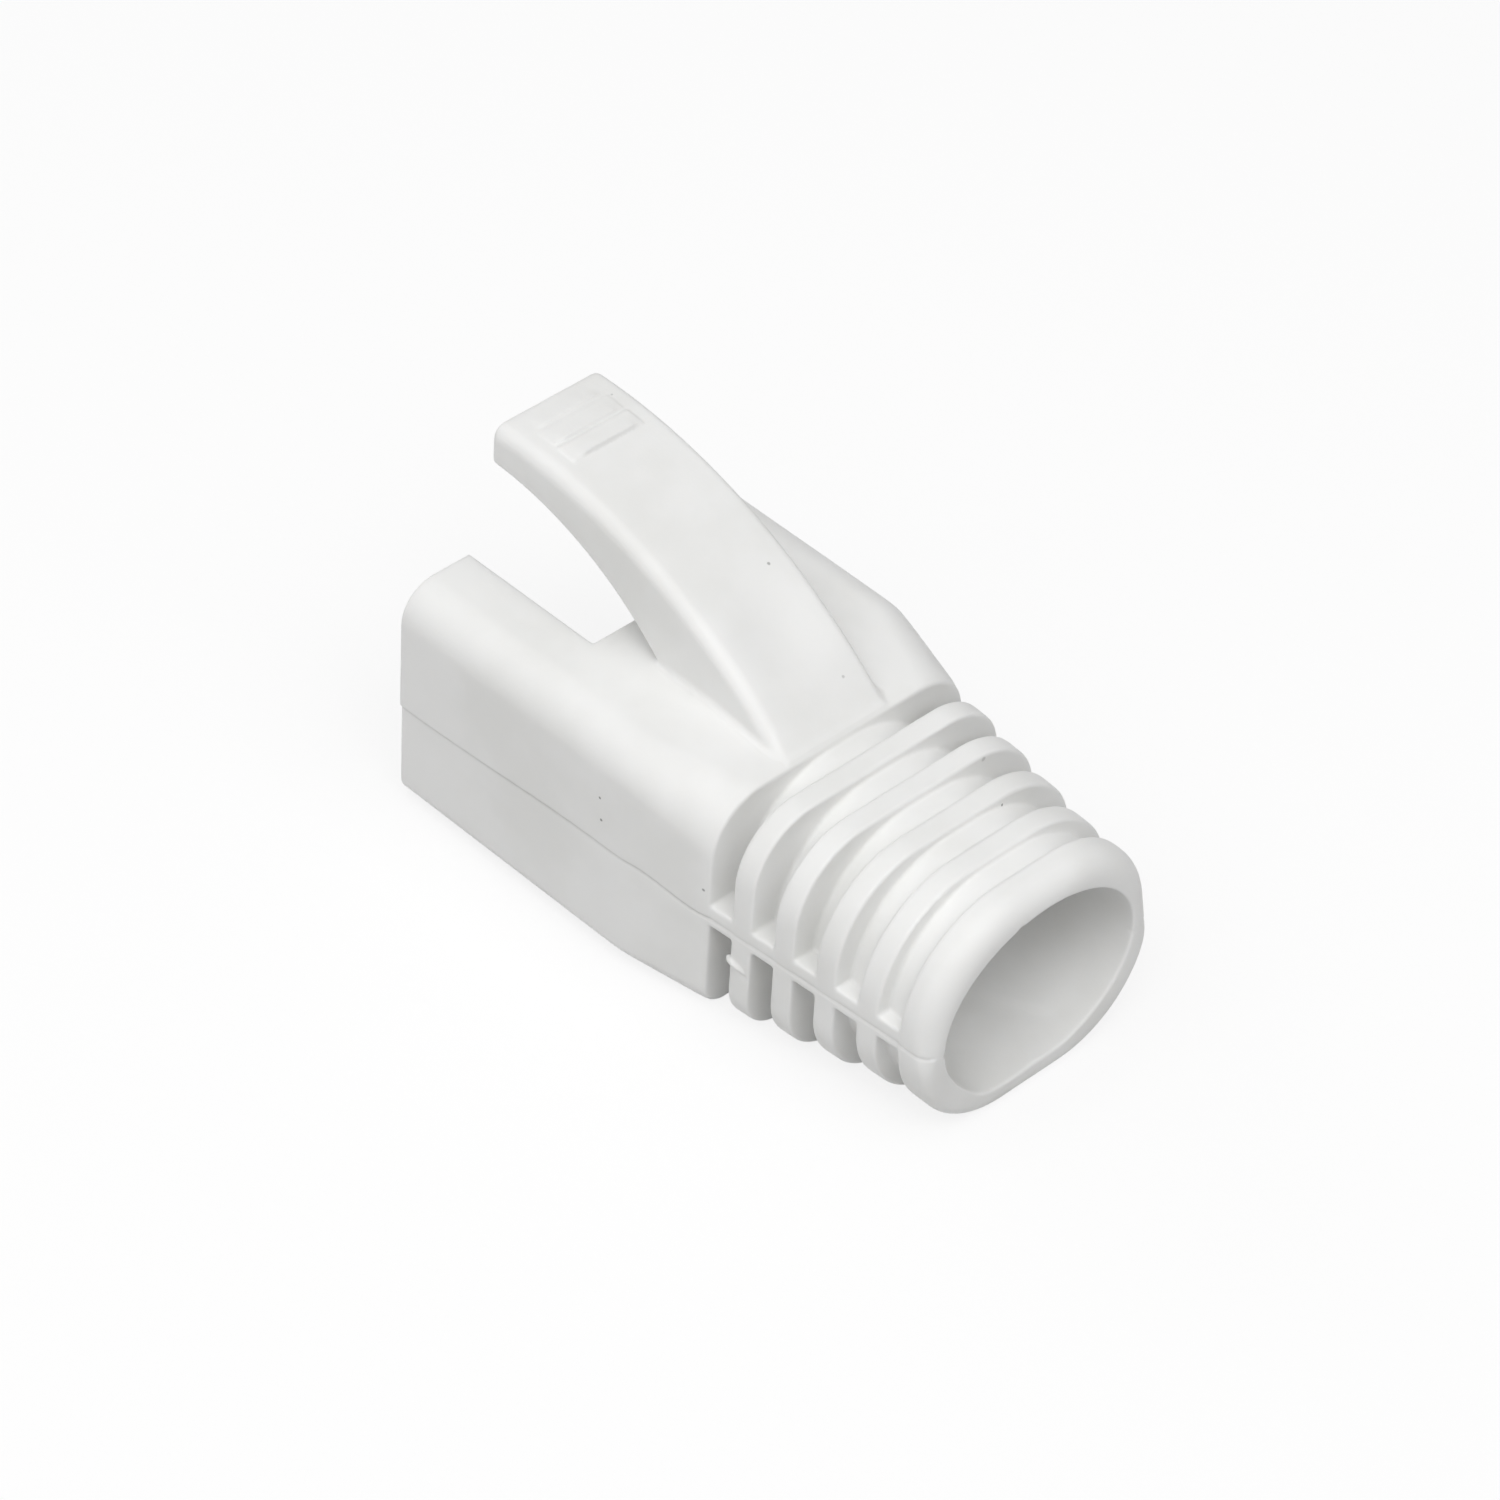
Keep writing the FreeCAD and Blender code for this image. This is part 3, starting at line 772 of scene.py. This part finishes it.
def makeBurr(material):
    # a bent path swept by a circle that thins at the path's ends
    s = burrSizes
    inputs = {"Radius": s["radius"] * mm}
    tree, given = newTree("burr", inputs)
    path = addNode(tree, "GeometryNodeCurveQuadraticBezier", {
        "Resolution": s["steps"],
        "Start": place(*s["start"]),
        "Middle": place(*s["middle"]),
        "End": place(*s["end"]),
    })
    along = addNode(tree, "GeometryNodeSplineParameter").outputs["Factor"]
    thin = maths(tree, "SINE", maths(tree, "MULTIPLY_ADD", along, *s["thinning"]))
    thinned = addNode(tree, "GeometryNodeSetCurveRadius", {
        "Curve": path.outputs[0],
        "Radius": maths(tree, "SQRT", thin),
    })
    ring = addNode(tree, "GeometryNodeCurvePrimitiveCircle", {
        "Resolution": s["sides"],
        "Radius": given["Radius"],
    })
    sweep = addNode(tree, "GeometryNodeCurveToMesh", {
        "Curve": thinned.outputs[0],
        "Profile Curve": ring.outputs[0],
        "Fill Caps": True,
    })
    endTree(tree, sweep.outputs[0], material)
    burr = inScene(bpy.data.objects.new("burr", bpy.data.meshes.new("burr")))
    return runTree(burr, tree, inputs)


# Finish: how finely the moulding is drawn and how soft its edges are.
finishSizes = {
    "voxel": 0.062,
    "smoothing": 4,
    "smoothShare": 0.5,
    "triangles": 190000,
}


def joined(name, pieces):
    with bpy.context.temp_override(active_object=pieces[0], selected_editable_objects=pieces):
        bpy.ops.object.join()
    pieces[0].name = name
    return pieces[0]


def makeBoot(material):
    s = finishSizes
    pocket, funnel, bore, slot = makeCutters()
    hood = cutWith(makeHood(), pocket, funnel, bore, slot)
    print("hood cut")
    tube = cutWith(makeTube(), funnel, bore)
    ribs = cutWith(makeRibs(material), bore)
    bead = cutWith(makeBead(), bore)
    spines = cutWith(makeSpines(), funnel, bore)
    print("sleeve cut")
    pieces = [hood, tube, ribs, bead, spines]
    pieces += [makeTongue(), makeGrip(material), makeBurr(material)]
    discard(pocket, funnel, bore, slot)
    boot = joined("bootMoulding", pieces)
    grow = boot.modifiers.new("one skin", "REMESH")
    grow.mode = "VOXEL"
    grow.voxel_size = s["voxel"] * mm
    grow.use_smooth_shade = True
    soften = boot.modifiers.new("soft edges", "SMOOTH")
    soften.iterations = s["smoothing"]
    soften.factor = s["smoothShare"]
    settled(boot)
    print("one skin:", len(boot.data.polygons), "faces")
    makeMarks(boot, material)
    count = sum(len(face.vertices) - 2 for face in boot.data.polygons)
    thin = boot.modifiers.new("fewer faces", "DECIMATE")
    thin.ratio = min(1.0, s["triangles"] / count)
    settled(boot)
    for face in boot.data.polygons:
        face.use_smooth = True
    print("boot:", len(boot.data.polygons), "faces")
    return boot


# Plastic: white satin moulding with a fine grain, faint clouding, paler edges, a few specks, and
# painted shade along the seam and behind the grip bars.
plasticLook = {
    "colour": (0.83, 0.83, 0.82, 1),
    "cloudColour": (0.79, 0.79, 0.775, 1),
    "edgeColour": (0.86, 0.86, 0.85, 1),
    "cloudScale": 230,
    "cloudDetail": 3,
    "cloudRange": (0.4, 0.7),
    "edgeRange": (0.01, 0.05),
    "roughness": (0.40, 0.58),
    "roughRange": (0.3, 0.7),
    "roughClouds": 0.6,       # share of the roughness that follows the clouds, not the grain
    "peelScale": 1500,
    "peelDetail": 1,
    "peelDepth": 0.004,
    "grainScale": 7000,
    "grainDetail": 2,
    "grainDepth": 0.003,
    "soft": 0.22,             # share of light that passes under the skin
    "softReach": 0.9,
    "softColours": (1, 0.95, 0.9),
    "ior": 1.46,
}

# Painted shade along the seam and at the foot of the grip bars, and the colour of the specks.
speckAndPaintedShadeLook = {
    "colour": (0.12, 0.12, 0.115, 1),
    "seamWide": 0.13,
    "seamDark": 0.2,          # along the hood
    "sleeveDark": 0.08,       # along the sleeve
    "hoodSkin": 6.2,          # nearer the middle than this is inside the hood
    "sleeveSkin": 5.4,
    "skinChange": (11, 12),
    "skinBlend": 0.1,
    "ragged": 0.08,           # how far the grain moves the edge of a speck or of a painted shade line
    "gripWide": 0.1,
    "gripCore": 0.02,
    "gripDark": (0.04, 0.07, 0.14),
    "gripHalf": 1.5,
    "gripFull": 0.75,         # share of that half width at full strength
    "gripMiddle": 0.1,
    "gripHeight": (9.5, 10.0),
}
specks = (
    # x, y, z, radius and darkness
    (10.94, -7.1, 2.71, 0.07, 0.85),
    (11.06, -7.1, 1.72, 0.085, 0.8),
    (15.80, -6.45, 1.18, 0.08, 0.7),
    (10.42, 1.50, 8.73, 0.085, 0.55),
    (14.55, 1.45, 6.04, 0.08, 0.35),
    (20.10, 3.19, 4.75, 0.13, 0.35),
    (22.10, 2.12, 4.53, 0.07, 0.9),
    (1.55, 1.9, 11.0, 0.07, 0.3),
)
speckCore = 0.4     # share of a speck's radius at full darkness


def tinted(tree, share, first, second):
    inputs = {0: share, 6: first, 7: second}        # 6 and 7 are the two colours
    return addNode(tree, "ShaderNodeMix", inputs, data_type="RGBA").outputs[2]


def withSeamPaintedShade(tree, colour, x, y, z):
    # painted shade: a dark line along the seam on the outer skin, standing in for the shadow
    # under the step between the mould halves
    s = speckAndPaintedShadeLook
    away = maths(tree, "ABSOLUTE", maths(tree, "SUBTRACT", z, seamField(tree, x)))
    dark = ramp(tree, x, *seamSizes["sleeve"], s["seamDark"], s["sleeveDark"])
    line = maths(tree, "MULTIPLY", ramp(tree, away, s["seamWide"], 0.0), dark)
    skin = ramp(tree, x, *s["skinChange"], s["hoodSkin"], s["sleeveSkin"])
    outside = maths(tree, "SUBTRACT", maths(tree, "ABSOLUTE", y), skin)
    outside = ramp(tree, outside, 0.0, s["skinBlend"])
    return tinted(tree, maths(tree, "MULTIPLY", line, outside), colour, s["colour"])


def withGripPaintedShade(tree, colour, x, y, z, ragged):
    # painted shade: a dark line at the foot of each grip bar's rear face, standing in for the
    # bar's shadow
    s = speckAndPaintedShadeLook
    across = maths(tree, "ADD", maths(tree, "SUBTRACT", y, s["gripMiddle"]), ragged)
    across = maths(tree, "ABSOLUTE", across)
    across = ramp(tree, across, s["gripHalf"], s["gripHalf"] * s["gripFull"])
    across = maths(tree, "MULTIPLY", across, ramp(tree, z, *s["gripHeight"]))
    for number, dark in enumerate(s["gripDark"]):
        foot = tongueSizes["crownBack"] + gripSizes["back"] + number * gripSizes["pitch"]
        behind = maths(tree, "ADD", maths(tree, "SUBTRACT", x, foot), ragged)
        behind = maths(tree, "ABSOLUTE", behind)
        line = ramp(tree, behind, s["gripWide"], s["gripCore"], 0.0, dark)
        colour = tinted(tree, maths(tree, "MULTIPLY", line, across), colour, s["colour"])
    return colour


def withSpecks(tree, colour, local, ragged):
    for px, py, pz, radius, dark in specks:
        far = vectorMaths(tree, "DISTANCE", local, (px, py, pz))
        far = maths(tree, "ADD", far, ragged)
        spot = ramp(tree, far, radius, radius * speckCore, 0.0, dark)
        colour = tinted(tree, spot, colour, speckAndPaintedShadeLook["colour"])
    return colour


def makePlastic():
    s = plasticLook
    material = bpy.data.materials.new("bootPlastic")
    material.use_nodes = True
    tree = material.node_tree
    where = addNode(tree, "ShaderNodeTexCoord").outputs["Object"]
    cloud = noiseField(tree, where, s["cloudScale"], s["cloudDetail"])
    peel = noiseField(tree, where, s["peelScale"], s["peelDetail"])
    grain = noiseField(tree, where, s["grainScale"], s["grainDetail"])
    local = inMillimetres(tree, where)
    x, y, z = split(tree, local)
    wide = speckAndPaintedShadeLook["ragged"]
    ragged = maths(tree, "MULTIPLY_ADD", grain, wide, -wide / 2)

    clouds = ramp(tree, cloud, *s["cloudRange"])
    colour = tinted(tree, clouds, s["colour"], s["cloudColour"])
    edge = addNode(tree, "ShaderNodeAttribute", attribute_name="edge").outputs["Fac"]
    colour = tinted(tree, ramp(tree, edge, *s["edgeRange"]), colour, s["edgeColour"])
    # painted shade along the seam
    colour = withSeamPaintedShade(tree, colour, x, y, z)
    # painted shade behind the grip bars
    colour = withGripPaintedShade(tree, colour, x, y, z, ragged)
    colour = withSpecks(tree, colour, local, ragged)

    sheen = maths(tree, "MULTIPLY", grain, 1 - s["roughClouds"])
    sheen = maths(tree, "MULTIPLY_ADD", cloud, s["roughClouds"], sheen)
    relief = maths(tree, "MULTIPLY", grain, s["grainDepth"])
    relief = maths(tree, "MULTIPLY_ADD", peel, s["peelDepth"], relief)
    bump = addNode(tree, "ShaderNodeBump", {"Height": relief, "Distance": mm})
    values = {
        "Base Color": colour,
        "Roughness": ramp(tree, sheen, *s["roughRange"], *s["roughness"]),
        "Normal": bump.outputs[0],
        "Subsurface Weight": s["soft"],
        "Subsurface Radius": s["softColours"],
        "Subsurface Scale": s["softReach"] * mm,
        "IOR": s["ior"],
    }
    for name, value in values.items():
        link(tree, value, tree.nodes["Principled BSDF"].inputs[name])
    return material


plastic = makePlastic()
print("plastic mixed")
boot = makeBoot(plastic)
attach(boot, "root")
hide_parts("boot")


# Camera: over the cable end's near corner, through a long lens.
cameraView = {
    "turn": 43.689,           # degrees round from the mouth's own direction
    "height": 41.453,         # degrees up
    "roll": 3.625,
    "distance": 231.4,
    "lens": 151.7,
    "sensor": 36,
    "target": (15.0, 0.0, 0.5),
    "slide": (2.384, -2.342), # how far the target lies right of and above the picture's middle
    "clip": (0.01, 10),       # metres
}


def makeCamera():
    s = cameraView
    turn, height, roll = (math.radians(s[name]) for name in ("turn", "height", "roll"))
    flat = math.cos(height)
    back = Vector((math.sin(turn) * flat, -math.cos(turn) * flat, math.sin(height)))
    level = Vector((math.cos(turn), math.sin(turn), 0))
    rise = back.cross(level)
    right = level * math.cos(roll) + rise * math.sin(roll)
    up = rise * math.cos(roll) - level * math.sin(roll)
    slideRight, slideUp = s["slide"]
    away = back * s["distance"] - right * slideRight - up * slideUp
    turned = Matrix((right, up, back)).transposed().to_4x4()
    data = bpy.data.cameras.new("camera")
    data.lens = s["lens"]
    data.sensor_width = s["sensor"]
    data.clip_start, data.clip_end = s["clip"]
    camera = inScene(bpy.data.objects.new("camera", data))
    camera.matrix_world = Matrix.Translation(Vector(place(*s["target"])) + away * mm) @ turned
    bpy.context.scene.camera = camera


# Studio: a pale floor that stays white to the camera but keeps the boot's shadow, and soft lamps.
studio = {
    # in metres
    "floorHalf": 0.6,
    "lampSize": 0.30,
    "lampReach": 0.45,
    "floorColour": (0.58, 0.58, 0.58, 1),
    "floorSeen": (0.95, 0.95, 0.95, 1),     # the floor's colour to the camera
    "floorRoughness": 0.9,
    "floorGlow": 0.80,        # how far the camera sees plain white in place of the lit floor
    "white": (1, 1, 1, 1),
    "lampsFace": (13, 0, 3),
    "lamps": {
        # degrees round from the cable end, degrees up, watts
        "topLamp": (0, 90, 0.37),
        "rearLamp": (0, 50, 0.57),
        "nearRearLamp": (315, 50, 0.69),
        "nearLamp": (275, 50, 0.34),
        "lowNearLamp": (270, 20, 0.22),
        "nearFrontLamp": (230, 50, 0.24),
        "mouthLamp": (180, 20, 0.37),
        "farLamp": (60, 50, 0.16),
        "farFrontLamp": (120, 50, 0.10),
    },
}


def cameraSees(tree):
    # one for rays that come from the camera, straight or by way of gloss or glass
    rays = addNode(tree, "ShaderNodeLightPath").outputs
    seen = maths(tree, "MAXIMUM", rays["Is Camera Ray"], rays["Is Glossy Ray"])
    return maths(tree, "MAXIMUM", seen, rays["Is Transmission Ray"])


def makeFloor():
    s = studio
    half = s["floorHalf"]
    corners = [(-half, -half, 0), (half, -half, 0), (half, half, 0), (-half, half, 0)]
    mesh = bpy.data.meshes.new("floor")
    mesh.from_pydata(corners, [], [(0, 1, 2, 3)])
    floor = inScene(bpy.data.objects.new("floor", mesh))
    paint = bpy.data.materials.new("floorPaint")
    paint.use_nodes = True
    tree = paint.node_tree
    shader = tree.nodes["Principled BSDF"]
    seen = cameraSees(tree)
    colour = tinted(tree, seen, s["floorColour"], s["floorSeen"])
    link(tree, colour, shader.inputs["Base Color"])
    link(tree, s["floorRoughness"], shader.inputs["Roughness"])
    white = addNode(tree, "ShaderNodeEmission", {"Color": s["white"]})
    both = addNode(tree, "ShaderNodeMixShader", {
        0: maths(tree, "MULTIPLY", seen, s["floorGlow"]),
        1: shader.outputs[0],
        2: white.outputs[0],
    })
    link(tree, both.outputs[0], tree.nodes["Material Output"].inputs[0])
    mesh.materials.append(paint)


def makeLamps():
    s = studio
    target = Vector(place(*s["lampsFace"]))
    for name, (turn, height, power) in s["lamps"].items():
        turn, height = math.radians(turn), math.radians(height)
        flat = math.cos(height)
        aim = Vector((math.cos(turn) * flat, math.sin(turn) * flat, math.sin(height)))
        data = bpy.data.lights.new(name, "AREA")
        data.size = s["lampSize"]
        data.energy = power
        lamp = inScene(bpy.data.objects.new(name, data))
        lamp.location = target + aim * s["lampReach"]
        lamp.rotation_euler = aim.to_track_quat("Z", "Y").to_euler()


def makeWorld():
    # dark to the scene, white where the camera looks past the floor
    world = bpy.data.worlds.new("world")
    world.use_nodes = True
    bpy.context.scene.world = world
    tree = world.node_tree
    sky = tree.nodes["Background"]
    link(tree, studio["white"], sky.inputs["Color"])
    link(tree, cameraSees(tree), sky.inputs["Strength"])


makeCamera()
makeFloor()
makeLamps()
makeWorld()
bpy.context.scene.view_settings.view_transform = "Standard"
print("studio ready")
